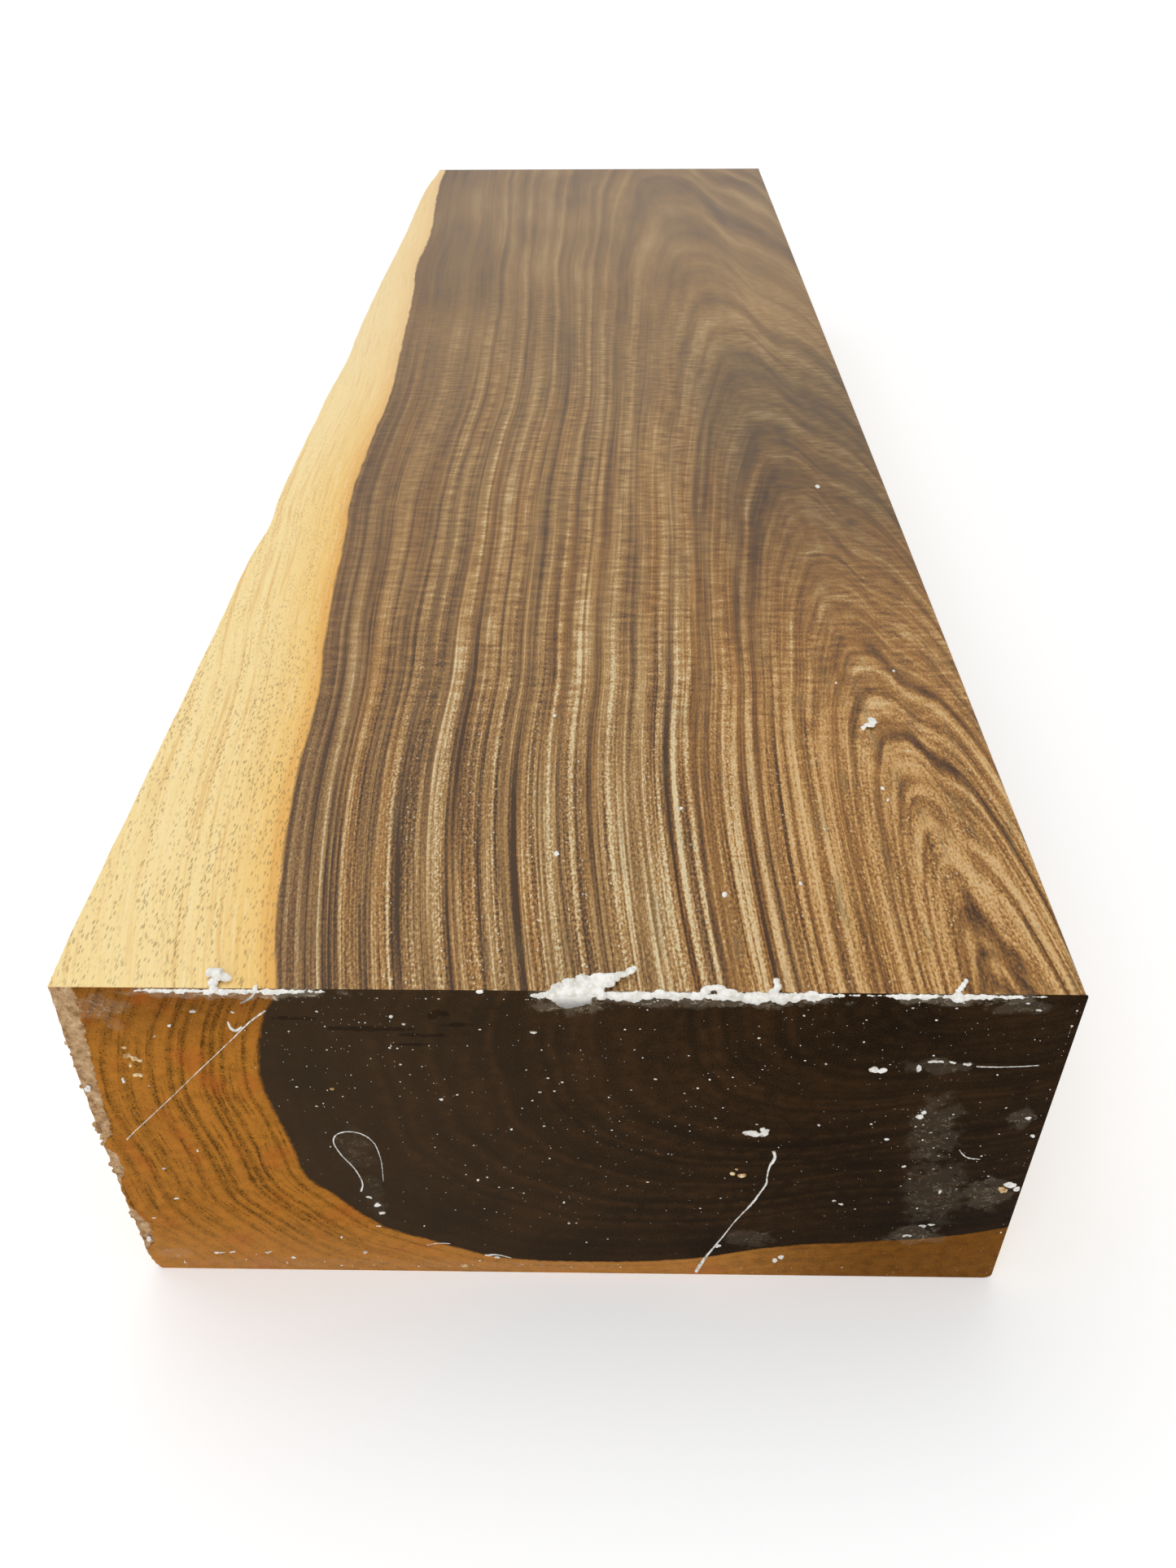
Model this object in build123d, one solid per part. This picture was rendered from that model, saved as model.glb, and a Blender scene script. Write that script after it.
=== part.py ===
from build123d import *

import math
import os

# Lignum vitae turning block: three sawn faces, one natural edge on the left,
# and both ends sealed with wax. X runs across the width, Y along the grain
# from the front end to the back, Z up. Millimetres.

# Sawn wood
block_length = 540.0
block_width = 159.5  # sawn side to the natural edge, at the back end and belly height
block_thickness = 76.2
upper_sawn_arris_radius = 0.5
lower_sawn_arris_radius = 1.2

# Natural edge: it draws in towards the front end and is fullest above mid-height
edge_draw_in = 3.0
belly_height = 46.0
belly_fall = 0.9  # how far the edge falls back over a height of belly_reach
belly_reach = 46.0
foot_ease = 2.6  # how far the edge draws in at its foot, where the lower arris is worn
foot_ease_reach = 3.0

# Hollows in the natural edge: distance from the front end, height of the middle,
# half length, half height and depth
edge_hollows = [
    (75.0, 60.0, 22.0, 40.0, 0.2),
    (112.0, 16.0, 20.0, 15.0, 0.9),
    (155.0, 76.0, 11.0, 34.0, 1.1),
    (214.0, 24.0, 26.0, 18.0, 0.8),
    (272.0, 72.0, 22.0, 44.0, 1.0),
    (338.0, 20.0, 30.0, 16.0, 1.1),
    (420.0, 66.0, 34.0, 60.0, 0.6),
    (472.0, 12.0, 24.0, 18.0, 0.8),
]
back_corner_hollow = 2.4  # depth at the back end
back_corner_reach = 26.0  # half length of that hollow

# Spacing of the stations along the natural edge and of the levels up it, closer
# together over the worn foot, and how far its surface runs past the wood
station_spacing = 9.0
level_spacing = 10.0
foot_level_spacing = 2.0
surface_overrun = 4.0
waste_depth = 30.0

# Wax seal on the ends
wax_thickness = 0.4
bare_strip_width = 4.2  # unwaxed strip beside the natural edge, at the top
bare_strip_drop = 42.0  # height over which that strip narrows to nothing

# Wax ridge on the upper front arris: distance of the middle of each run from the
# sawn side, its length and its radius
wax_ridge_runs = [
    (18.0, 25.0, 0.6),
    (51.0, 31.0, 1.0),
    (73.5, 14.0, 1.6),
    (96.0, 9.0, 0.5),
    (127.0, 28.0, 0.7),
]


def hollow_depth(distance, height, hollow):
    """Depth of one smooth hollow at a place on the natural edge."""
    middle, level, half_length, half_height, depth = hollow
    along = (distance - middle) / half_length
    up = (height - level) / half_height
    return depth * math.exp(-along * along - up * up)


def edge_x(distance, height):
    """X of the natural edge, with the sawn side at X = 0."""
    inset = edge_draw_in * (1 - distance / block_length)
    inset += belly_fall * ((height - belly_height) / belly_reach) ** 2
    inset += foot_ease * math.exp(-height / foot_ease_reach)
    inset += sum(hollow_depth(distance, height, hollow) for hollow in edge_hollows)
    from_back = (block_length - distance) / back_corner_reach
    inset += back_corner_hollow * math.exp(-from_back * from_back)
    return inset - block_width


def evenly_spaced(start, end, spacing):
    """Places from start to end, no further apart than the spacing."""
    steps = math.ceil((end - start) / spacing)
    return [start + (end - start) * i / steps for i in range(steps + 1)]


def natural_edge_surface():
    """The smooth wandering surface that the natural edge follows."""
    stations = evenly_spaced(-surface_overrun, block_length + surface_overrun, station_spacing)
    foot_top = 4 * foot_ease_reach
    levels = evenly_spaced(-surface_overrun, foot_top, foot_level_spacing)
    levels += evenly_spaced(foot_top, block_thickness + surface_overrun, level_spacing)[1:]
    rows = [[Vector(edge_x(y, z), y, z) for z in levels] for y in stations]
    return Face.make_surface_from_array_of_points(rows)


def make_timber():
    """The sawn block with its natural edge cut and its two sawn arrises eased."""
    blank = Box(
        block_width + waste_depth / 2,
        block_length,
        block_thickness,
        align=(Align.MAX, Align.MIN, Align.MIN),
    )
    sawn_arrises = blank.faces().sort_by(Axis.X)[-1].edges().filter_by(Axis.Y).sort_by(Axis.Z)
    blank = fillet(sawn_arrises[0], lower_sawn_arris_radius)
    upper = blank.edges().filter_by(Axis.Y).sort_by(Axis.Z)[-2:].sort_by(Axis.X)[-1]
    blank = fillet(upper, upper_sawn_arris_radius)
    waste = extrude(natural_edge_surface(), waste_depth, dir=(-1, 0, 0))
    return (blank - waste).solid()


def wax_run(middle, length, radius):
    """One run of the wax ridge: a slim spindle that sits on the upper front arris."""
    half = length / 2
    bow = ThreePointArc((-half, 0, 0), (0, 0, radius), (half, 0, 0))
    chord = Line((half, 0, 0), (-half, 0, 0))
    profile = make_face([bow, chord])
    spindle = revolve(profile, Axis.X)
    front_half = Box(length, radius, 2 * radius, align=(Align.CENTER, Align.MAX, Align.CENTER))
    return Pos(-middle, 0, block_thickness) * (spindle & front_half)


def make_front_wax(timber):
    """Wax on the front end, short of the natural edge, with its ridge of runs."""
    end_face = timber.faces().sort_by(Axis.Y)[0]
    film = extrude(end_face, wax_thickness, dir=(0, -1, 0))
    edge_top = Vector(edge_x(0, block_thickness), 0, block_thickness)
    inner = edge_top + Vector(bare_strip_width, 0, 0)
    strip_foot_height = block_thickness - bare_strip_drop
    foot = Vector(edge_x(0, strip_foot_height), 0, strip_foot_height)
    outer = Vector(-2 * block_width, 0, 0)
    strip_outline = Polyline(
        inner + Vector(0, 0, 1),
        inner,
        foot,
        Vector(outer.X, 0, foot.Z),
        Vector(outer.X, 0, inner.Z + 1),
        close=True,
    )
    strip = extrude(make_face(strip_outline), wax_thickness, dir=(0, -1, 0))
    wax = film - strip
    for middle, length, radius in wax_ridge_runs:
        wax = wax + wax_run(middle, length, radius)
    return wax.solid()


def make_back_wax(timber):
    """Wax over the whole of the back end."""
    end_face = timber.faces().sort_by(Axis.Y)[-1]
    return extrude(end_face, wax_thickness, dir=(0, 1, 0)).solid()


def build():
    """All pieces, with the origin under the middle of the whole block."""
    timber = make_timber()
    pieces = {
        "timber_block": timber,
        "front_end_wax": make_front_wax(timber),
        "back_end_wax": make_back_wax(timber),
    }
    box = Compound(list(pieces.values())).bounding_box()
    to_origin = Pos(-box.center().X, -box.center().Y, -box.min.Z)
    return {name: to_origin * piece for name, piece in pieces.items()}


os.makedirs("parts", exist_ok=True)
for node_name, solid in build().items():
    export_step(solid, f"parts/{node_name}.step")
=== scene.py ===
import math
import random

import bmesh
import bpy
from bpy.props import FloatProperty, FloatVectorProperty, IntProperty, PointerProperty
from mathutils import Matrix, Vector


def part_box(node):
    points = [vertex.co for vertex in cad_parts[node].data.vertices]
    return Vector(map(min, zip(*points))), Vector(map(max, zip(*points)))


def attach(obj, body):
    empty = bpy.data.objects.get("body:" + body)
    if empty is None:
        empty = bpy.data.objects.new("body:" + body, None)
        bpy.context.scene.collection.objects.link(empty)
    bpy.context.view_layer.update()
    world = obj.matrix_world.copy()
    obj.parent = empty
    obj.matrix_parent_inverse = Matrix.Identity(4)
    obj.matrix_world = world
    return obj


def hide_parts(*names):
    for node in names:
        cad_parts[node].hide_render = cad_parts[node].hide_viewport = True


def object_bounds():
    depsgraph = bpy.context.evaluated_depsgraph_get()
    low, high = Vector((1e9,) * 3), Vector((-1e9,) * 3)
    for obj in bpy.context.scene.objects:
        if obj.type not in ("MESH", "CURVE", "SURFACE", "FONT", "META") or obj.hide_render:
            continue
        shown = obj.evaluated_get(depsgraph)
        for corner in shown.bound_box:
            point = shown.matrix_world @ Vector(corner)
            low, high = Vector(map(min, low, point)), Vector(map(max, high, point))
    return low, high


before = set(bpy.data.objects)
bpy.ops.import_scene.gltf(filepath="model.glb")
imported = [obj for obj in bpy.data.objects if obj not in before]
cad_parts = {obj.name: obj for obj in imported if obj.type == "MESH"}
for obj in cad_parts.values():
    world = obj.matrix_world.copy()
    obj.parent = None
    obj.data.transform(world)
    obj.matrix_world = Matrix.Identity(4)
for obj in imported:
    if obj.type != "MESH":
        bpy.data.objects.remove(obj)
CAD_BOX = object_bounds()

bl_info = {
    "name": "Lignum Vitae Block",
    "version": (1, 0, 0),
    "blender": (4, 5, 0),
    "location": "View3D > Sidebar > Timber",
    "description": "A sawn block of lignum vitae with a natural edge and wax on both ends",
    "category": "Object",
}

MM = 0.001

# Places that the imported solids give, in metres
WOOD_LOW, WOOD_HIGH = (Vector(corner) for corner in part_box("timber_block"))
SAWN_SIDE = WOOD_HIGH.x
TOP = WOOD_HIGH.z
FILM = 0.4 * MM
FILM_FACE = WOOD_LOW.y - FILM

# Camera, fitted to the corners of the block in the photograph
CAMERA_PLACE = Vector((8.675, -397.53, 215.41)) * MM
CAMERA_YAW = math.radians(-1.329)
CAMERA_DIP = math.radians(37.955)
CAMERA_ROLL = math.radians(-0.538)
CAMERA_LENS = 28.69
CAMERA_SENSOR = 36

# Ring pattern: the pith runs above the top face, rising and drifting left to the back, in mm
PITH_LEFT = 12
PITH_DRIFT = 0.06
PITH_ABOVE = 6.7
PITH_RISE = 0.085
RING_LEAN = 0.8

# Lengths that the figure of the wood is drawn in, in mm: over all rings, and round half a turn
RINGS_ACROSS = 95
HALF_TURN = 250

# Where heartwood turns to sapwood: mm from the pith, against the turn round it from 0 to 1
HEART_REACH = [
    (0, 110), (0.021, 109.2), (0.076, 103.5), (0.145, 94.6), (0.198, 91.2), (0.245, 87.3), (0.297, 84.9),
    (0.355, 82), (0.416, 81), (0.478, 79.4), (0.554, 78.8), (0.604, 77.8), (0.662, 82.1), (0.732, 89.4),
    (1, 100),
]
HEART_REACH_MOST = 120

# How far the heartwood has spread, as a share of its reach at the front, against mm back
HEART_SPREAD = [
    (0, 1), (20, 1.027), (48, 1.049), (84, 1.057), (108, 1.078), (144, 1.096), (170, 1.115), (204, 1.117),
    (240, 1.111), (288, 1.133), (336, 1.162), (372, 1.193), (420, 1.208), (468, 1.242), (500, 1.265),
    (541, 1.28),
]
HEART_SPREAD_MOST = 1.4
BLOCK_REACH = 541

# Sideways drift of the inner stripes, in ring units, against mm back
STRIPE_DRIFT = [(0, 0), (50, 0), (90, 0.015), (130, 0.03), (190, 0.045), (541, 0.045)]
STRIPE_DRIFT_MOST = 0.1

# Lightness of the growth bands, from the pith outwards
INNER_BANDS = [
    (0, 0.35), (0.085, 0.2), (0.101, 0.28), (0.107, 0.6), (0.117, 0.66), (0.1215, 0.25), (0.125, 0.62),
    (0.132, 0.58), (0.135, 0.25), (0.139, 0.62), (0.1435, 0.38), (0.147, 0.6), (0.1525, 0.1),
    (0.159, 0.55), (0.169, 0.66), (0.177, 0.3), (0.184, 0.64), (0.1935, 0.14), (0.2, 0.3), (0.206, 0.58),
    (0.213, 0.36), (0.223, 0.72), (0.238, 0.32), (0.248, 0.72), (0.26, 0.35), (0.27, 0.6), (0.286, 0.45),
    (0.301, 0.16), (0.31, 0.74),
]
MIDDLE_BANDS = [
    (0.31, 0.74), (0.3225, 0.06), (0.33, 0.3), (0.342, 0.82), (0.355, 0.4), (0.365, 0.5), (0.373, 0.1),
    (0.381, 0.36), (0.39, 0.02), (0.402, 0.92), (0.41, 0.42), (0.42, 0.96), (0.4325, 0.1), (0.445, 0.82),
    (0.455, 0.5), (0.462, 0.66), (0.47, 0.3), (0.48, 0.5), (0.4925, 0.28), (0.507, 0.46), (0.52, 0.92),
    (0.533, 0.3), (0.545, 0.05), (0.553, 0.1), (0.56, 0.62), (0.57, 0.44), (0.58, 0.95), (0.59, 0.46),
    (0.602, 0.16), (0.61, 0.9),
]
OUTER_BANDS = [
    (0.61, 0.9), (0.6225, 0.1), (0.633, 0.72), (0.645, 0.45), (0.657, 0.12), (0.67, 0.2), (0.68, 0.12),
    (0.69, 1), (0.7, 0.32), (0.712, 0.45), (0.723, 0.76), (0.737, 0.55), (0.757, 0), (0.77, 0.95),
    (0.78, 0.45), (0.79, 0.1), (0.803, 0.42), (0.818, 0.74), (0.831, 0.02), (0.843, 0.84), (0.855, 0.42),
    (0.875, 0.16), (0.888, 0.3), (0.9, 0.5), (0.912, 0.28), (0.93, 0.03), (0.95, 0.35), (0.962, 0.1),
    (0.98, 0.42), (1, 0.25),
]

# Lightness of the lines in the waxed sapwood, from the heartwood outwards
SAP_LINES = [
    (1, 0.5), (1.01, 0.8), (1.018, 0.2), (1.026, 0.75), (1.04, 0.85), (1.049, 0.2), (1.056, 0.6),
    (1.064, 0.12), (1.069, 0.5), (1.075, 0.2), (1.085, 0.8), (1.096, 0.7), (1.103, 0.15), (1.111, 0.6),
    (1.121, 0.22), (1.132, 0.75), (1.147, 0.3), (1.158, 0.7), (1.17, 0.6), (1.183, 0.35), (1.2, 0.62),
    (1.212, 0.3), (1.224, 0.66), (1.238, 0.34), (1.252, 0.68), (1.268, 0.36), (1.284, 0.7), (1.304, 0.4),
    (1.325, 0.72), (1.35, 0.5), (1.4, 0.75),
]


def srgb(red, green, blue):
    """A colour in linear light, from the 0 to 255 values that a screen shows."""
    def linear(value):
        share = value / 255
        return share / 12.92 if share <= 0.04045 else ((share + 0.055) / 1.055) ** 2.4

    return tuple(linear(value) for value in (red, green, blue))


def spot(left, back, down):
    """A place in metres, from mm left of the sawn side, behind the waxed face and below the top."""
    return Vector((SAWN_SIDE - left * MM, FILM_FACE + back * MM, TOP - down * MM))


def clamp(value, low, high):
    """The value, held between two limits."""
    return min(max(value, low), high)


def colour(name, description, shade):
    """A colour setting with its default."""
    return FloatVectorProperty(
        name=name,
        description=description,
        subtype="COLOR",
        size=3,
        min=0,
        max=1,
        default=srgb(*shade),
    )


def length(name, description, millimetres):
    """A length setting with its default."""
    return FloatProperty(
        name=name,
        description=description,
        default=millimetres * MM,
        min=0,
        unit="LENGTH",
        precision=5,
    )


def count(name, description, number):
    """A whole number as a setting with its default."""
    return IntProperty(name=name, description=description, default=number, min=0)


class TimberSettings(bpy.types.PropertyGroup):
    """Sizes and colours of the timber."""

    edge_columns: count("Edge columns", "Faces along the natural edge", 300)
    edge_rows: count("Edge rows", "Faces up the natural edge", 110)
    edge_roughness: length("Edge roughness", "Depth of the torn fibres on the natural edge", 0.5)
    front_crumble: length("Front crumble", "Depth of the crumbly edge at the front end", 0.55)
    lean_out: length("Lower lean", "How much further the edge leans out at the front", 1.4)
    foot_out: length("Foot", "How much further the foot stands out at the front", 1)
    upper_arris: length("Upper arris", "Radius of the upper sawn arris", 0.5)
    lower_arris: length("Lower arris", "Radius of the lower sawn arris", 1.2)
    heart_dark: colour("Dark heartwood", "Darkest bands of the heartwood", (66, 46, 25))
    heart_middle: colour("Middle heartwood", "Middle tone of the heartwood", (155, 118, 70))
    heart_light: colour("Light heartwood", "Light bands of the heartwood", (190, 155, 104))
    heart_pale: colour("Pale heartwood", "Palest lines of the heartwood", (222, 203, 162))
    sap_amber: colour("Amber sapwood", "Sapwood beside the heartwood", (242, 198, 112))
    sap_pale: colour("Pale sapwood", "Sapwood near the natural edge", (250, 223, 158))
    skin: colour("Natural edge", "Weathered skin of the natural edge", (182, 140, 92))
    bare_end: colour("Bare end", "Unwaxed end grain beside the natural edge", (196, 160, 118))


class WaxSettings(bpy.types.PropertyGroup):
    """Sizes and colours of the wax on the ends."""

    crumb_count: count("Crumbs", "Number of wax crumbs", 640)
    waxed_heart: colour("Waxed heartwood", "Heartwood end grain seen through wax", (64, 43, 22))
    waxed_sap: colour("Waxed sapwood", "Sapwood end grain seen through wax", (182, 118, 42))
    waxed_line: colour("Waxed lines", "Dark lines in the waxed sapwood", (86, 56, 10))
    white_wax: colour("White wax", "Thick or broken wax", (250, 248, 242))
    cream_wax: colour("Cream wax", "Flakes with wood dust in them", (244, 220, 168))


class StageSettings(bpy.types.PropertyGroup):
    """Floor and light."""

    floor: colour("Floor", "Colour of the floor", (244, 244, 244))
    floor_size: length("Floor size", "Side of the floor", 8000)
    sky: FloatProperty(name="Sky", description="Strength of the all-round light", default=0.5, min=0)
    softbox_above: FloatProperty(name="Upper lamp", description="Its power", default=9.5, unit="POWER")
    softbox_front: FloatProperty(name="Front lamp", description="Its power", default=9, unit="POWER")


class Wire:
    """One socket of a material. Python's own operators add the Math nodes of an expression."""

    def __init__(self, finish, socket):
        self.finish = finish
        self.socket = socket

    def math(self, operation, *others):
        return self.finish.math(operation, self, *others)

    def __add__(self, other):
        return self.math("ADD", other)

    __radd__ = __add__

    def __mul__(self, other):
        return self.math("MULTIPLY", other)

    __rmul__ = __mul__

    def __sub__(self, other):
        return self.math("SUBTRACT", other)

    def __rsub__(self, other):
        return self.finish.math("SUBTRACT", other, self)

    def __truediv__(self, other):
        return self.math("DIVIDE", other)

    def __rtruediv__(self, other):
        return self.finish.math("DIVIDE", other, self)

    def least(self, other):
        return self.math("MINIMUM", other)

    def most(self, other):
        return self.math("MAXIMUM", other)

    def fade(self, start, end):
        """0 at start and 1 at end, with a smooth step between."""
        sockets = {"Value": self, "From Min": start, "From Max": end}
        return self.finish.add("ShaderNodeMapRange", {"interpolation_type": "SMOOTHSTEP"}, sockets)


class Finish:
    """The nodes of one material or world. The method add makes any node in it."""

    def __init__(self, owner):
        owner.use_nodes = True
        self.owner = owner
        self.tree = owner.node_tree
        self.tree.nodes.clear()

    def add(self, kind, settings=None, sockets=None, output=0):
        node = self.tree.nodes.new(kind)
        for name, value in (settings or {}).items():
            if name == "stops":
                set_stops(node.color_ramp, value)
            elif name == "points":
                set_points(node.mapping, value)
            else:
                setattr(node, name, value)
        for key, value in (sockets or {}).items():
            socket = node.inputs[key]
            if isinstance(value, Wire):
                self.tree.links.new(value.socket, socket)
            elif socket.type == "RGBA":
                socket.default_value = (*value, 1)
            else:
                socket.default_value = value
        return Wire(self, node.outputs[output]) if node.outputs else None

    def math(self, operation, *values):
        return self.add("ShaderNodeMath", {"operation": operation}, dict(enumerate(values)))

    def mix(self, share, first, second, blend="MIX"):
        """Second over first, by a share from 0 to 1."""
        settings = {"data_type": "RGBA", "blend_type": blend}
        return self.add("ShaderNodeMix", settings, {0: share, 6: first, 7: second}, 2)

    def coats(self, base, *layers):
        """Colours laid over a base in turn, from rows of (share, red, green, blue)."""
        for share, *shade in layers:
            base = self.mix(share, base, srgb(*shade))
        return base

    def ramp(self, value, stops):
        return self.add("ShaderNodeValToRGB", {"stops": stops}, {"Fac": value})

    def shades(self, value, stops, start, end):
        """Lightness against a value, from stops of (value, lightness) between start and end."""
        greys = [((at - start) / (end - start), (tone, tone, tone)) for at, tone in stops]
        return self.ramp((value - start) / (end - start), greys)

    def curve(self, value, points, reach, most):
        """A number against a value, from points of (value, number)."""
        shares = [(at / reach, number / most) for at, number in points]
        return self.add("ShaderNodeFloatCurve", {"points": shares}, {"Value": value / reach}) * most

    def stretch(self, vector, sizes, shift):
        """A vector divided by the size of a pattern, or by its sizes along three directions."""
        if not isinstance(sizes, tuple):
            sizes = (sizes, sizes, sizes)
        scale = tuple(1 / size for size in sizes)
        sockets = {0: vector, 1: scale, 2: (shift, shift, shift)}
        return self.add("ShaderNodeVectorMath", {"operation": "MULTIPLY_ADD"}, sockets)

    def noise(self, vector, sizes, detail, shift=0, distortion=0):
        """Cloudy noise about 0, from about -0.5 to 0.5. The shift picks the pattern."""
        sockets = {
            "Vector": self.stretch(vector, sizes, shift),
            "Scale": 1,
            "Detail": detail,
            "Distortion": distortion,
        }
        return self.add("ShaderNodeTexNoise", None, sockets) - 0.5

    def cells(self, vector, sizes, shift):
        """Distance from scattered points. The shift picks the pattern."""
        sockets = {"Vector": self.stretch(vector, sizes, shift), "Scale": 1}
        return self.add("ShaderNodeTexVoronoi", None, sockets)

    def bump(self, height, distance):
        """A surface normal from a height between 0 and 1, as deep as the distance."""
        return self.add("ShaderNodeBump", None, {"Height": height, "Distance": distance})

    def looked_at(self):
        """1 where the camera or a reflection meets the surface, 0 for the light that it gives."""
        camera, glossy = (self.add("ShaderNodeLightPath", output=ray) for ray in (0, 3))
        return camera.most(glossy)

    def surface(self, **sockets):
        """A Principled surface on the material's output."""
        named = {name.replace("_", " "): value for name, value in sockets.items()}
        shader = self.add("ShaderNodeBsdfPrincipled", None, named)
        self.add("ShaderNodeOutputMaterial", None, {"Surface": shader})
        return self.owner


def set_stops(ramp, stops):
    """Puts (place, colour) stops on a colour ramp."""
    while len(ramp.elements) < len(stops):
        ramp.elements.new(1)
    for element, (place, shade) in zip(ramp.elements, stops):
        element.position = place
        element.color = (*shade, 1)


def set_points(mapping, points):
    """Puts (x, y) points on a curve."""
    curve = mapping.curves[0]
    for at, value in points[1:-1]:
        curve.points.new(at, value)
    curve.points[0].location = points[0]
    curve.points[len(curve.points) - 1].location = points[-1]
    mapping.update()


class TreeFinish(Finish):
    """A material that knows where each of its points lies in the tree it was sawn from."""

    def __init__(self, name):
        super().__init__(bpy.data.materials.new(name))
        object_place = self.add("ShaderNodeTexCoord", output=3)
        x, y, z = (
            self.add("ShaderNodeSeparateXYZ", None, {0: object_place}, axis) for axis in range(3)
        )
        self.left = (SAWN_SIDE - x) / MM
        self.back = (y - FILM_FACE) / MM
        self.down = (TOP - z) / MM
        self.place = self.vector(self.left, self.down, self.back)

        # Rings and turn round the pith, and the border of the heartwood with a wobble
        depth = self.down + self.back * PITH_RISE + PITH_ABOVE
        side = self.left - self.down * RING_LEAN - self.back * PITH_DRIFT - PITH_LEFT
        from_pith = (side * side + depth * depth).math("SQRT")
        turn = depth.math("ARCTAN2", side) / math.pi
        reach = self.curve(turn, HEART_REACH, 1, HEART_REACH_MOST)
        spread = self.curve(self.back, HEART_SPREAD, BLOCK_REACH, HEART_SPREAD_MOST)
        wobble = self.noise(self.place, (9, 9, 30), 2) * 0.012
        wobble = wobble + self.noise(self.place, (1.2, 1.2, 7), 1) * 0.006
        self.rings = from_pith / (reach * spread)
        self.border = self.rings + wobble
        self.sap = self.border.fade(0.9965, 1.0025)

        # Directions of the grain: across the stripes, round the rings and along the trunk
        drift = self.curve(self.back, STRIPE_DRIFT, BLOCK_REACH, STRIPE_DRIFT_MOST)
        self.stripe = self.rings + drift * self.rings.fade(0.96, 0.8)
        self.grain = self.vector(self.stripe * RINGS_ACROSS, turn * HALF_TURN, self.back)

    def vector(self, x, y, z):
        return self.add("ShaderNodeCombineXYZ", None, {0: x, 1: y, 2: z})

    def bands(self, feather):
        """Lightness of the growth bands, with edges feathered along the grain."""
        loose = self.noise(self.grain, (5, 30, 26), 2) * 0.01
        hair = self.noise(self.grain, (0.8, 9, 14), 2, 3) * feather
        quiet = self.rings.fade(0.08, 0.4) * 0.85 + 0.15
        at = self.stripe + (loose + hair) * quiet
        tone = 0
        for stops in (INNER_BANDS, MIDDLE_BANDS, OUTER_BANDS):
            start, end = stops[0][0], stops[-1][0]
            part = self.shades(at, stops, start, end)
            inside = at.math("GREATER_THAN", start) * at.math("LESS_THAN", end)
            tone = part * inside + tone
        return tone

    def patch(self, left, down, half_width, half_height, ragged):
        """1 inside a ragged oval on an end, fading to 0 outside it."""
        across = (self.left - left) / half_width
        up = (self.down - down) / half_height
        away = across * across + up * up + ragged
        return away.fade(1.2, 0.3)


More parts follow.
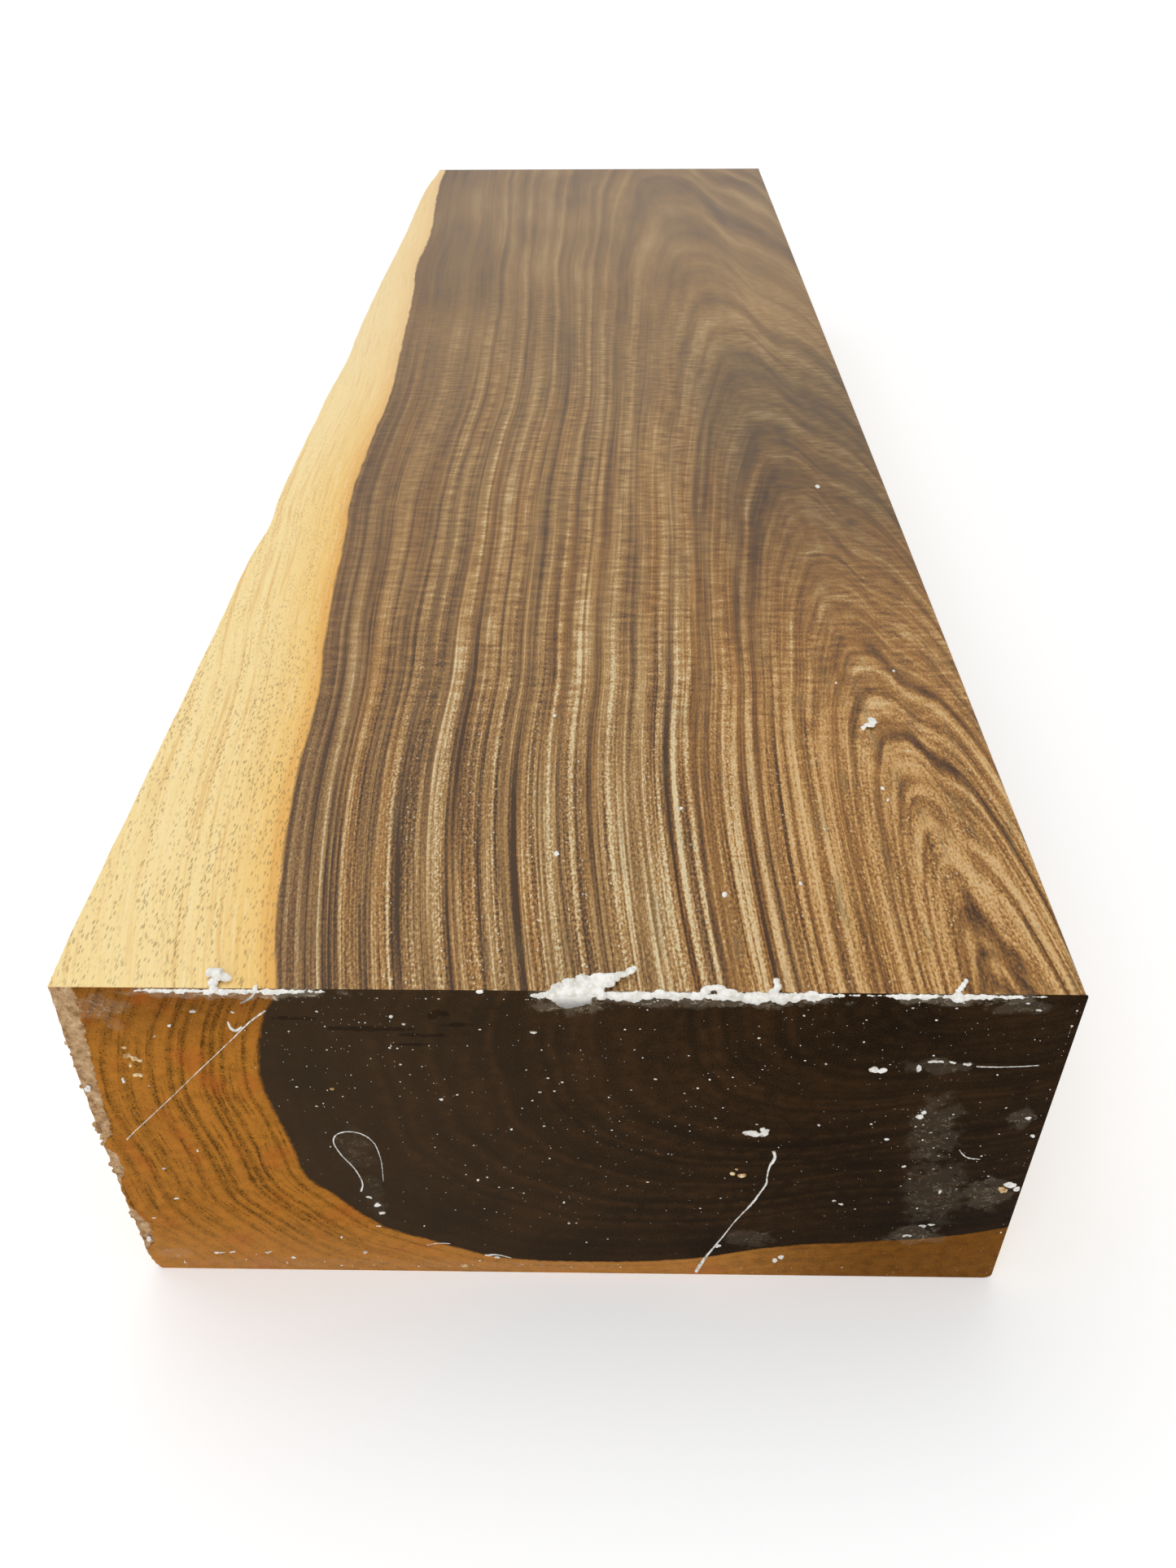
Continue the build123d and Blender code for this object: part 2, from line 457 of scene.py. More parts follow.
def make_timber_finish(settings):
    """Planed heartwood and sapwood."""
    finish = TreeFinish("planed_timber")
    place, grain, back = finish.place, finish.grain, finish.back

    # Patterns along the grain, from broad stripes to hair lines, then grit and ripple marks
    bands = finish.bands(0.008)
    broad = finish.noise(grain, (12, 60, 70), 2, 103) * back.fade(120, 380)
    vary = finish.noise(grain, (4, 30, 38), 2, 97) * 1.3 + 1
    streak = finish.noise(grain, (1.4, 12, 60), 3, 11)
    strand = finish.noise(grain, (1.25, 30, 150), 2, 101)
    lines = finish.noise(grain, (0.62, 60, 300), 2, 7)
    hair = finish.noise(grain, (0.34, 4, 14), 2, 23)
    fine = finish.noise(grain, (0.3, 60, 90), 2, 27)
    grit = finish.noise(place, (0.42, 0.42, 0.75), 2, 53)
    ripple = finish.noise(place, (5, 9, 1.5), 1, 41)

    # Where they show: most of them near the front, where the photograph is sharp
    near = back.fade(300, 30)
    clear = back.fade(360, 110) * 0.75 + 0.25
    contrast = back.fade(135, 20) * 0.6 + 0.57
    ripple_zone = back.fade(30, 90) * back.fade(420, 240)
    right_part = finish.left.fade(62, 34)
    light = right_part * back.fade(120, 60)

    # Tone of the heartwood
    figure = (bands - 0.46) * vary * (right_part * 0.16 + 0.56)
    figure = figure + (lines * 1.4 + fine * 0.8 + strand * (1.5 - right_part)) * clear
    figure = figure + streak * 0.5 + hair * 0.4 + broad * 1.1
    figure = figure + grit * (bands * 1.5 + 0.6) * near
    tone = figure * (contrast - light * 0.12) + ripple * ripple_zone * (bands * 0.8 + 0.3)
    tone = tone + light * 0.1 + 0.465
    heart_stops = [
        (0, settings.heart_dark),
        (0.24, srgb(112, 82, 50)),
        (0.5, settings.heart_middle),
        (0.76, settings.heart_light),
        (1, settings.heart_pale),
    ]

    # Colours over it: warm lines, painted glints, amber, olive clouds, dark dashes, then the
    # shaded middle, a painted sheen that greys the far part, and a dark rim by the sapwood
    warm = finish.noise(grain, (3.2, 30, 140), 2, 67) * 1.6
    warm = warm + finish.stripe.fade(0.5, 0.16) * 0.5
    warm = warm.fade(-0.2, 0.45) * tone.fade(0.9, 0.5)
    warm = warm * (back.fade(320, 100) * 0.35 + 0.35)
    # Painted glints: bright points near the front, on the lighter bands and grit
    painted_glint = finish.cells(place, (1.1, 1.1, 1.5), 71).fade(0.2, 0.08)
    painted_glint = painted_glint * (bands + grit).fade(0.3, 0.7) * back.fade(160, 20)
    olive = finish.noise(grain, (2.4, 9, 16), 3, 109).fade(0.04, 0.3) * near
    dash = finish.cells(place, (0.5, 0.5, 2.4), 107).fade(0.34, 0.16)
    dash = dash * grit.fade(-0.1, 0.15) * near
    shade = right_part * back.fade(90, 170) * back.fade(330, 230)
    heart = finish.coats(
        finish.mix(warm, finish.ramp(tone, heart_stops), (1, 0.78, 0.47), "MULTIPLY"),
        (painted_glint * 0.75, 244, 234, 206),
        (light * tone.fade(0.5, 0.85) * 0.55, 212, 160, 92),
        (olive * (light * 0.3 + 0.35), 114, 100, 68),
        (dash * 0.5, 78, 56, 34),
        (shade * 0.42 + back.fade(60, 400) * 0.07, 24, 18, 10),
        # Painted sheen: the heartwood greyer and paler towards the far end
        (back.fade(90, 300) * 0.24, 118, 104, 76),
        (back.fade(300, 480) * 0.16, 130, 116, 104),
        (finish.border.fade(0.9, 1) * 0.35, 86, 58, 38),
    )

    # Sapwood: amber by the heartwood, paler outwards, with rows of dark pores
    outward = (finish.border + streak * 0.05).fade(0.99, 1.13)
    line = lines * 0.8 + streak * 0.6 + hair * 0.9
    rows = finish.noise(grain, (1.3, 20, 30), 2, 83)
    pore = finish.cells(place, (0.42, 0.42, 1.7), 5).fade(0.42, 0.2) * rows.fade(-0.2, 0.12)
    fleck = finish.noise(place, (0.35, 0.35, 1.4), 2, 91)
    sap = finish.coats(
        finish.mix(outward, settings.sap_amber, settings.sap_pale),
        (finish.border.fade(1.03, 1.005) * 0.5, 226, 158, 70),
        (line.fade(-0.05, 0.35) * 0.5, 218, 162, 84),
        (line.fade(-0.05, -0.4) * 0.4, 255, 240, 198),
        (pore * (back.fade(240, 40) * 0.8 + 0.2) * 0.6, 132, 108, 68),
        # Painted sheen: the sapwood paler towards the far end
        (back.fade(130, 340) * 0.5, 243, 222, 178),
        (fleck.fade(0.04, 0.3) * 0.4, 196, 150, 84),
    )

    height = hair * 0.5 + grit * 0.5 - pore * finish.sap * 0.6 + 0.5
    return finish.surface(
        Base_Color=finish.mix(finish.sap, heart, sap),
        Roughness=0.5 + hair * 0.12 + grit * 0.1,
        Specular_IOR_Level=0.2,
        Normal=finish.bump(height, 0.05 * MM),
    )


def make_skin_finish(settings):
    """Weathered skin of the natural edge."""
    finish = TreeFinish("natural_edge")
    fibre = finish.noise(finish.place, (0.9, 0.8, 18), 4, 5, 0.4)
    weather = finish.noise(finish.place, (9, 8, 70), 5, 9, 0.6)
    strip = finish.noise(finish.place, (3, 2.6, 60), 5, 19, 1)
    grit = finish.noise(finish.place, (0.5, 0.5, 0.9), 2, 13)
    skin = finish.coats(
        finish.mix(weather.fade(-0.3, 0.3), settings.skin, srgb(206, 164, 108)),
        (fibre.fade(0.02, 0.2) * 0.8, 128, 88, 54),
        (fibre.fade(-0.05, -0.25) * 0.6, 232, 198, 146),
        (strip.fade(0.1, 0.2) * 0.55, 134, 98, 66),
        (grit.fade(0.1, 0.3) * 0.4, 232, 200, 150),
    )
    return finish.surface(
        Base_Color=skin,
        Roughness=0.78 + grit * 0.2,
        Specular_IOR_Level=0.3,
        Normal=finish.bump(fibre * 0.9 + grit * 0.3 + strip * 0.8 + 0.5, 0.6 * MM),
    )


def make_bare_end_finish(settings):
    """Dusty bare end grain beside the natural edge."""
    finish = TreeFinish("bare_end_grain")
    mottle = finish.noise(finish.place, 1.3, 3, 3)
    grit = finish.noise(finish.place, 0.3, 2, 7)
    bare = finish.coats(
        finish.mix(mottle.fade(-0.2, 0.05), srgb(150, 112, 74), settings.bare_end),
        (mottle.fade(0.04, 0.24), 222, 194, 156),
        (grit.fade(0.06, 0.22) * 0.7, 122, 84, 52),
    )
    return finish.surface(
        Base_Color=bare,
        Roughness=0.9,
        Specular_IOR_Level=0.2,
        Normal=finish.bump(mottle * 0.5 + grit + 0.5, 0.3 * MM),
    )


# Thin haze in the front wax: mm left, mm down, half width, half height, strength
HAZE = [
    (149, 3.8, 5, 2.8, 0.8), (147.6, 8, 1.8, 1.6, 0.5), (17.5, 33, 4.5, 10, 0.34),
    (14.5, 50, 6, 10, 0.32), (16, 62.5, 5, 3.2, 0.55), (45.7, 64, 5, 2.6, 0.4), (77, 1.6, 6.5, 3.4, 1),
    (56, 0.6, 20, 2.6, 1), (128, 0.4, 16, 1.7, 1.6), (19, 0.4, 11, 1.8, 1.2), (9, 2.4, 5, 1.6, 0.5),
    (151, 71, 3.6, 2, 0.6), (128, 74, 26, 1.9, 0.34), (93, 74, 26, 1.8, 0.38), (4, 29, 3, 2.6, 0.5),
    (6, 50, 5, 5, 0.5), (19, 16, 6, 2, 0.4), (113.8, 39, 3.4, 5.5, 0.16), (112, 52, 2.2, 7, 0.14),
]

# Dark tears in the front wax: mm left, mm down, half width, half height
TEARS = [
    (119, 6.2, 5, 0.5), (108, 8.4, 7, 0.6), (99.5, 9.8, 5, 0.5), (97, 5, 1.6, 1.2), (102, 12, 4, 0.4),
    (94.5, 7.4, 2.2, 0.5), (8, 1.4, 6, 0.9), (12, 15, 9, 0.25),
]


def make_waxed_finish(settings, name, front):
    """End grain seen through a film of wax, with haze where the wax is thick."""
    finish = TreeFinish(name)
    place, left, down = finish.place, finish.left, finish.down
    cloud = finish.noise(place, 16, 3, 17)
    mottle = finish.noise(place, 2.2, 2, 31)
    speckle = finish.noise(place, 0.3, 1, 19)

    # Heartwood: nearly black, with faint red-brown arcs and lighter to the left
    arcs = (finish.bands(0.004) - 0.45) * mottle.fade(-0.3, 0.2)
    tone = arcs * 0.8 + cloud * 1.2 + mottle * 0.8 + speckle * 1.6 + 0.42
    heart = finish.coats(
        finish.mix(tone.least(1).most(0), srgb(24, 15, 5), settings.waxed_heart),
        (left.fade(30, 125) * 0.5, 70, 55, 39),
        (left.fade(60, 30) * 0.32, 26, 16, 4),
    )

    # Sapwood: orange-brown, with dark lines of pores along the rings
    shaken = finish.rings + speckle * 0.005 + mottle * 0.003 + cloud * 0.012
    lines = finish.shades(shaken, SAP_LINES, 1, 1.4)
    plain = (down + cloud * 26).fade(92, 46) * 0.6 + 0.4
    dots = finish.cells(place, 0.5, 2).fade(0.45, 0.15)
    fine = finish.noise(finish.grain, (0.5, 10, 24), 2, 57)
    streaks = lines.fade(0.62, 0.18) * 0.55 + fine.fade(0.02, 0.2) * 0.5
    dark = streaks * plain * (0.8 + dots * 0.7 + speckle * 2.4) + dots * 0.3
    dark = dark + mottle * 0.9 + cloud * 0.35 + 0.1
    red = finish.noise(place, (7, 9, 9), 2, 29)
    right_end = left.fade(60, 20)
    sap = finish.coats(
        finish.mix(dark.least(1).most(0), settings.waxed_sap, settings.waxed_line),
        (down.fade(16, 0) * 0.5, 84, 46, 14),
        (red.fade(0, 0.3) * 0.5, 176, 88, 34),
        (down.fade(56, 76) * 0.35, 196, 142, 84),
        (right_end * 0.8, 106, 64, 8),
        (right_end * (mottle + speckle).fade(-0.1, 0.3) * 0.6, 84, 52, 12),
    )
    waxed = finish.mix(finish.border.fade(0.995, 1.003), heart, sap)

    # Dust in the wax, and on the front also haze where the wax is thick, and tears
    dust = finish.cells(place, 1.5, 61)
    haze = dust.fade(0.1, 0.04) * (cloud + mottle).fade(-0.1, 0.2) * 0.6
    if front:
        ragged = finish.noise(place, 2.6, 5, 43)
        broken = finish.noise(place, 1.5, 6, 47, 1.2).fade(0.05, 0.28)
        wrinkle = finish.noise(place, (2.4, 1.7, 2), 2, 59, 0.8).math("ABSOLUTE")
        wrinkle = wrinkle.fade(0.02, 0.004) * ragged.fade(-0.12, 0.1)
        thick = broken * 0.6 + wrinkle * 0.6 + 0.12
        for *oval, strength in HAZE:
            haze = haze.most(finish.patch(*oval, ragged * 4) * thick * strength)
        for oval in TEARS:
            waxed = finish.coats(waxed, (finish.patch(*oval, ragged * 6) * 0.5, 16, 8, 2))

    height = cloud * 0.5 + mottle * 0.6 + speckle * 0.2 + haze * 0.6 + 0.5
    return finish.surface(
        Base_Color=finish.coats(waxed, (haze, 200, 184, 160)),
        Roughness=0.34 + speckle * 0.15 + haze * 0.2,
        Specular_IOR_Level=0.018,
        Normal=finish.bump(height, 0.12 * MM),
    )


def make_white_wax_finish(settings):
    """Thick white wax, greyer and clearer where it is thin against the end."""
    finish = TreeFinish("white_wax")
    place, down = finish.place, finish.down
    cloud = finish.noise(place, 1.4, 3, 3)
    fine = finish.noise(place, 0.3, 2, 5)
    low = (down + cloud * 1.6).fade(0.4, 2.4) * down.fade(5, 4)
    thin = low * (finish.left.fade(70, 74) * 0.55 + 0.3)
    clear = finish.noise(place, 1.1, 3, 13).fade(0, 0.16)
    clear = clear * down.fade(3.5, 5) * finish.back.fade(0.2, 0)
    wax = finish.coats(
        finish.mix(cloud.fade(-0.25, 0.15), srgb(218, 214, 204), settings.white_wax),
        (fine.fade(0.05, 0.4) * 0.5, 214, 196, 170),
        (thin, 126, 122, 120),
        (clear * 0.6, 128, 112, 92),
    )
    return finish.surface(
        Base_Color=wax,
        Roughness=0.5,
        Subsurface_Weight=0.15,
        Subsurface_Radius=(0.6, 0.55, 0.5),
        Subsurface_Scale=0.8 * MM,
        Specular_IOR_Level=0.45,
        Normal=finish.bump(cloud + fine * 0.6 + 0.5, 0.15 * MM),
    )


def make_cream_wax_finish(settings):
    """Cream wax with wood dust in it."""
    finish = TreeFinish("cream_wax")
    cloud = finish.noise(finish.place, 0.9, 2, 3)
    return finish.surface(
        Base_Color=finish.mix(cloud.fade(-0.15, 0.2), srgb(176, 132, 78), settings.cream_wax),
        Roughness=0.6,
        Specular_IOR_Level=0.4,
        Normal=finish.bump(cloud + 0.5, 0.1 * MM),
    )


def deselect():
    bpy.ops.object.select_all(action="DESELECT")


def choose(piece):
    """Selects one piece alone and makes it active."""
    deselect()
    piece.select_set(True)
    bpy.context.view_layer.objects.active = piece


def settle(name, scale=(1, 1, 1)):
    """Names the new active object and moves its size and place into its mesh."""
    piece = bpy.context.object
    piece.scale = scale
    bpy.ops.object.transform_apply(location=True, rotation=True, scale=True)
    piece.name = name
    piece.data.name = name
    return piece


def pick_edges(piece, test):
    """Selects the edges of a piece in edit mode that pass a test."""
    bpy.ops.mesh.select_mode(type="EDGE")
    bpy.ops.mesh.select_all(action="DESELECT")
    mesh = bmesh.from_edit_mesh(piece.data)
    for edge in mesh.edges:
        if test(edge):
            edge.select = True
    mesh.select_flush(True)
    bmesh.update_edit_mesh(piece.data)


def turn_outwards():
    """Makes every face of the piece in edit mode point outwards, and leaves edit mode."""
    bpy.ops.mesh.select_all(action="SELECT")
    bpy.ops.mesh.normals_make_consistent(inside=False)
    bpy.ops.object.mode_set(mode="OBJECT")


def apply_all(piece):
    """Applies every modifier of a piece, in order."""
    choose(piece)
    for name in [modifier.name for modifier in piece.modifiers]:
        bpy.ops.object.modifier_apply(modifier=name)


def roughen(piece, name, depth, size, direction, group="", middle=0, guide=None):
    """Moves a surface by a cloud pattern of that size, within a vertex group."""
    clouds = bpy.data.textures.new(name, "CLOUDS")
    clouds.noise_scale = size
    clouds.noise_depth = 3
    push = piece.modifiers.new(name, "DISPLACE")
    push.texture = clouds
    push.direction = direction
    push.strength = depth
    push.mid_level = middle
    push.vertex_group = group
    if guide:
        push.texture_coords = "OBJECT"
        push.texture_coords_object = guide
    else:
        push.texture_coords = "LOCAL"


def finish_piece(piece, slot, materials, *nodes):
    """Gives a piece its materials, its body and the solids that it stands for; the slot is not used."""
    for material in materials:
        piece.data.materials.append(material)
    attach(piece, "root")
    if nodes:
        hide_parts(*nodes)


def merged_copy(node, name):
    """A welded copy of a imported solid, a little taller and longer, to project onto."""
    larger = (1, 1.004, 1.004)
    copy = bpy.data.objects.new(name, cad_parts[node].data.copy())
    bpy.context.collection.objects.link(copy)
    choose(copy)
    bpy.ops.object.mode_set(mode="EDIT")
    bpy.ops.mesh.select_all(action="SELECT")
    bpy.ops.mesh.remove_doubles(threshold=0.001 * MM)
    bpy.ops.transform.resize(value=larger, center_override=(0, 0, TOP / 2))
    bpy.ops.object.mode_set(mode="OBJECT")
    return copy


class BLOCK_OT_timber(bpy.types.Operator):
    """Model the timber with its natural edge"""

    bl_idname = "block.timber"
    bl_label = "Timber"

    def execute(self, context):
        settings = context.scene.block_timber
        near = 0.01 * MM
        start = WOOD_LOW.x - 3 * MM
        block_length = WOOD_HIGH.y - WOOD_LOW.y

        # How close the grid is at the front, and how far the torn and leaning parts reach
        front_step = 0.12
        fibre_size, fibre_stretch = 2.2 * MM, 7
        crumble_size, crumble_reach = 1.1 * MM, 6 * MM
        edge_depth = 8 * MM
        lean_reach = 60 * MM
        foot_height = 9 * MM
        sawn_part = 30 * MM

        # A close grid for the natural edge, finest at the front end
        deselect()
        bpy.ops.mesh.primitive_grid_add(
            x_subdivisions=settings.edge_rows,
            y_subdivisions=settings.edge_columns,
            size=1,
            location=(start, (WOOD_LOW.y + WOOD_HIGH.y) / 2, TOP / 2),
            rotation=(0, math.radians(-90), 0),
        )
        timber = settle("timber_with_natural_edge", (TOP, block_length, 1))
        for vert in timber.data.vertices:
            share = (vert.co.y - WOOD_LOW.y) / block_length
            vert.co.y = WOOD_LOW.y + block_length * share * (front_step + (1 - front_step) * share)

        # The block is drawn out from the rim of the grid to the sawn side
        bpy.ops.object.mode_set(mode="EDIT")
        pick_edges(timber, lambda edge: edge.is_boundary)
        across = (SAWN_SIDE - start, 0, 0)
        bpy.ops.mesh.extrude_region_move(TRANSFORM_OT_translate={"value": across})
        bpy.ops.mesh.edge_face_add()
        turn_outwards()

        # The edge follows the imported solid, then tears and crumbles inwards
        edge_group = timber.vertex_groups.new(name="natural_edge")
        front_group = timber.vertex_groups.new(name="front_crumble")
        for vert in timber.data.vertices:
            if vert.co.x < start + near:
                edge_group.add([vert.index], 1, "REPLACE")
                from_front = (vert.co.y - WOOD_LOW.y) / crumble_reach
                front_group.add([vert.index], max(0, 1 - from_front), "REPLACE")
        target = merged_copy("timber_block", "edge_guide")
        wrap = timber.modifiers.new("follow", "SHRINKWRAP")
        wrap.target = target
        wrap.wrap_method = "PROJECT"
        wrap.use_project_x = True
        wrap.use_positive_direction = True
        wrap.vertex_group = "natural_edge"
        bpy.ops.object.empty_add(location=(0, 0, 0))
        stretched = bpy.context.object
        stretched.scale = (1, fibre_stretch, 1)
        context.view_layer.update()
        torn, crumbly = settings.edge_roughness, settings.front_crumble
        roughen(timber, "fibres", torn, fibre_size, "X", "natural_edge", guide=stretched)
        roughen(timber, "crumble", crumbly, crumble_size, "X", "front_crumble")
        apply_all(timber)
        bpy.data.objects.remove(target)
        bpy.data.objects.remove(stretched)

        # At the front end the foot of the natural edge stands out a little more
        for vert in timber.data.vertices:
            if vert.co.x < SAWN_SIDE - sawn_part:
                fading = max(0, 1 - (vert.co.y - WOOD_LOW.y) / lean_reach)
                foot = max(0, 1 - vert.co.z / foot_height)
                lean = settings.lean_out * (1 - vert.co.z / TOP)
                vert.co.x -= fading * (lean + settings.foot_out * foot)

        # Sawn arrises
        choose(timber)
        bpy.ops.object.mode_set(mode="EDIT")
        for height, radius in ((TOP, settings.upper_arris), (0, settings.lower_arris)):
            def on_arris(edge, height=height):
                return all(
                    vert.co.x > SAWN_SIDE - near and abs(vert.co.z - height) < near
                    for vert in edge.verts
                )
            pick_edges(timber, on_arris)
            bpy.ops.mesh.bevel(offset=radius, segments=4)
        bpy.ops.object.mode_set(mode="OBJECT")
        bpy.ops.object.shade_smooth_by_angle(angle=math.radians(35))

        # Planed wood, with its own materials on the natural edge and the front end
        makers = (make_timber_finish, make_skin_finish, make_bare_end_finish)
        finish_piece(timber, "timber", [maker(settings) for maker in makers], "timber_block")
        skin, bare_end = 1, 2
        leftwards, frontwards = -0.25, -0.9
        for face in timber.data.polygons:
            if face.normal.y < frontwards:
                face.material_index = bare_end
            elif face.normal.x < leftwards and face.center.x < WOOD_LOW.x + edge_depth:
                face.material_index = skin
        return {"FINISHED"}


def edge_line(timber, at_back):
    """The natural edge of the timber at one end, as (height, X) from the bottom up."""
    end = WOOD_HIGH.y if at_back else WOOD_LOW.y
    near = 0.01 * MM
    left_part = -60 * MM
    places = [vert.co for vert in timber.data.vertices]
    return sorted(
        (place.z, place.x) for place in places if abs(place.y - end) < near and place.x < left_part
    )


# Width of the bare strip beside the natural edge: mm down from the top, mm wide
BARE_STRIP = [
    (0, 3.9), (6, 3.9), (12, 3.6), (20, 3.1), (26, 2.7), (32, 2.7), (35.5, 2.2), (37.5, 0.9), (39, 0.5),
    (41, 1.9), (46, 2.2), (49, 0.6), (53, 0.4), (57, 0.6), (59.5, 1.8), (63, 2.9), (67, 2.4), (69.5, 0.9),
    (73, 0.35), (80, 0.3),
]


def along(points, at):
    """A number read from points of (place, number)."""
    for (start, first), (end, second) in zip(points, points[1:]):
        if at <= end:
            return first + (second - first) * (at - start) / (end - start)
    return points[-1][1]


def make_film(context, name, node, at_back):
    """The wax film of one end, fitted to the timber's outline."""
    face = WOOD_HIGH.y if at_back else WOOD_LOW.y
    rim = edge_line(bpy.data.objects["timber_with_natural_edge"], at_back)
    corner = context.scene.block_timber.lower_arris
    row_height = 0.5 * MM
    columns = 60
    jag_most = 0.28
    crowding = 1.4
    deselect()
    bpy.ops.mesh.primitive_grid_add(
        x_subdivisions=columns,
        y_subdivisions=round(TOP / row_height),
        size=1,
        location=(0, face, TOP / 2),
        rotation=(math.radians(-90 if at_back else 90), 0, 0),
    )
    film = settle(name, (SAWN_SIDE * 2, TOP, 1))

    # Each row runs from the bare strip, with a jag of its own, to the eased lower arris
    rng = random.Random(11)
    jags = {}
    for vert in film.data.vertices:
        row = round(vert.co.z / row_height)
        if row not in jags:
            jags[row] = rng.uniform(-jag_most, jag_most) * MM
        height = clamp(vert.co.z, 0, TOP)
        start = along(rim, height)
        if not at_back:
            start += along(BARE_STRIP, (TOP - height) / MM) * MM + jags[row]
        below = max(0, corner - height)
        end = SAWN_SIDE - (corner - math.sqrt(max(0, corner * corner - below * below)))
        share = clamp((vert.co.x + SAWN_SIDE) / (2 * SAWN_SIDE), 0, 1)
        vert.co.x = start + (share ** crowding) * (end - start)

    thick = film.modifiers.new("thickness", "SOLIDIFY")
    thick.thickness = FILM
    thick.offset = 1
    apply_all(film)
    choose(film)
    bpy.ops.object.mode_set(mode="EDIT")
    turn_outwards()
    bpy.ops.object.shade_smooth_by_angle(angle=math.radians(40))
    finish = make_waxed_finish(context.scene.block_wax, name + "_wax", not at_back)
    finish_piece(film, "end_wax", [finish], node)
    return {"FINISHED"}


class BLOCK_OT_front_film(bpy.types.Operator):
    """Model the wax film on the front end"""

    bl_idname = "block.front_film"
    bl_label = "Front wax film"

    def execute(self, context):
        return make_film(context, "front_wax_film", "front_end_wax", False)


class BLOCK_OT_back_film(bpy.types.Operator):
    """Model the wax film on the back end"""

    bl_idname = "block.back_film"
    bl_label = "Back wax film"

    def execute(self, context):
        return make_film(context, "back_wax_film", "back_end_wax", True)


# Thick wax along the upper front arris: mm left at both ends, mm down, half height, half depth
RIDGE_RUNS = [
    (141.8, 114, 0.45, 0.75, 0.3), (81.2, 71.8, 1.7, 1.9, 0.45), (72.4, 57, 0.9, 1.35, 0.7),
    (57.6, 38, 1, 1.3, 0.75), (38.6, 36.2, 0.4, 0.5, 0.4), (35.4, 33.6, 0.12, 0.22, 0.2),
    (32.6, 30.2, 0.15, 0.26, 0.2), (29.6, 20.2, 0.4, 0.72, 0.4), (20.4, 16.8, 0.5, 0.95, 0.5),
    (17, 9.2, 0.38, 0.72, 0.35), (8.4, 6, 0.1, 0.2, 0.16),
]

# Lumps folded onto the top face: mm left, back and up, then half sizes along the same three
TOP_LUMPS = [
    # Large folded flake
    (79.6, -0.5, 0.1, 1.2, 0.8, 0.6), (78.3, 0.5, 0.4, 1.6, 1.1, 0.5), (76.5, 1, 0.7, 1.8, 1.3, 0.5),
    (74.4, 1.5, 0.9, 1.9, 1.3, 0.5), (72.3, 1.9, 0.9, 1.8, 1.1, 0.5), (70.5, 2.4, 0.9, 1.3, 0.8, 0.45),
    (69, 3, 0.9, 1.1, 0.6, 0.4), (67.8, 3.7, 1, 0.8, 0.7, 0.4), (67.2, 4.2, 1, 0.5, 0.4, 0.3),
    (72.6, 0.4, 0.4, 1, 1, 0.5), (71.9, -0.4, 0.2, 0.5, 0.7, 0.4), (77.6, -0.1, 0.2, 1.5, 0.7, 0.5),
    (75.4, 0.2, 0.3, 1.5, 0.9, 0.5), (73.8, 0.4, 0.4, 1.2, 1, 0.5), (71, 1.4, 0.7, 1, 0.9, 0.45),
    # Broken pieces to the right of it
    (63.4, 0.1, 0.2, 0.9, 0.5, 0.4), (56.4, 0.6, 0.4, 1.1, 0.6, 0.5), (54.7, 0.7, 0.6, 1.2, 0.6, 0.5),
    (53, 0, 0.3, 1.3, 0.6, 0.5), (51.8, -0.5, 0.2, 0.8, 0.5, 0.4), (48.2, -0.9, 0.1, 1.2, 0.6, 0.5),
    (46.6, -0.2, 0.4, 0.9, 0.8, 0.5), (45.9, 0.8, 0.8, 0.7, 0.7, 0.5), (46, 1.7, 1, 0.6, 0.6, 0.4),
    (43, -0.6, 0.1, 1.2, 0.5, 0.5), (41.1, -0.1, 0.2, 1.2, 0.5, 0.5), (39, -0.3, 0.1, 1.1, 0.4, 0.4),
    # Small curl near the sawn side
    (19.6, 0, 0.1, 0.45, 0.5, 0.35), (19.1, 0.6, 0.2, 0.45, 0.6, 0.32),
    (18.6, 1.2, 0.35, 0.42, 0.6, 0.32), (18.1, 1.8, 0.5, 0.4, 0.6, 0.32), (17.6, 2.4, 0.65, 0.36, 0.5, 0.3),
    # Lump on the sapwood
    (131.4, 2.8, 0.8, 0.7, 1, 0.6), (130.2, 2.7, 0.8, 1.1, 1, 0.7), (128.9, 1.9, 0.7, 1.1, 0.7, 0.6),
    (130.6, 1, 0.5, 0.9, 0.8, 0.5), (130.2, 0, 0.2, 0.7, 0.6, 0.5), (124.1, 0.4, 0.3, 0.35, 0.6, 0.3),
    # Thin bit further back, and one by the heart of the block
    (21.3, 69.4, 0.1, 1.2, 1.6, 0.32), (20.5, 70.8, 0.1, 0.9, 1.3, 0.3),
    (22.6, 68.4, 0.05, 0.6, 0.7, 0.25), (90.4, 0, 0.1, 0.6, 0.3, 0.3),
]

